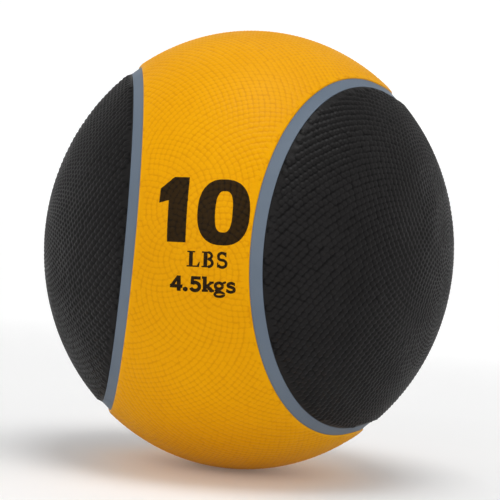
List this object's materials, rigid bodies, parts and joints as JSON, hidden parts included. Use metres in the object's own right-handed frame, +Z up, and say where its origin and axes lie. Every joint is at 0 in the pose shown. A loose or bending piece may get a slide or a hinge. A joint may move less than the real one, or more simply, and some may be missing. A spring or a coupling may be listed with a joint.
{
  "type": "medicine ball",
  "caption": "Hollow rubber medicine ball with a pebbled yellow centre band, pebbled black side covers set off by recessed grey grooves, and a needle valve at the rear.",
  "frame": {"origin": "centre of the ball", "axes": "+X through the middle of the right side cover, -Y through the printed front of the centre band, +Y out along the inflation valve, +Z up"},
  "size_m": [0.214, 0.2299, 0.23],
  "materials": {
    "black_cover": "matt, fine pebbled grain",
    "yellow_cover": "matt, fine pebbled grain",
    "groove_rubber": "smooth satin",
    "ballast_rubber": "rough moulded, filled",
    "winding_cord": "wound nylon cord",
    "butyl": "smooth satin",
    "valve_rubber": "smooth satin",
    "print_ink": "printed ink, follows the grain"
  },
  "bodies": {
    "root": {"side_cover_left": "black_cover", "side_cover_right": "black_cover", "groove_strip_left": "groove_rubber", "groove_strip_right": "groove_rubber", "centre_band_front": "yellow_cover", "centre_band_rear": "yellow_cover", "ballast_shell_front": "ballast_rubber", "ballast_shell_rear": "ballast_rubber", "nylon_winding": "winding_cord", "bladder": "butyl", "valve_boot": "valve_rubber", "valve_core": "valve_rubber"}
  },
  "joints": []
}
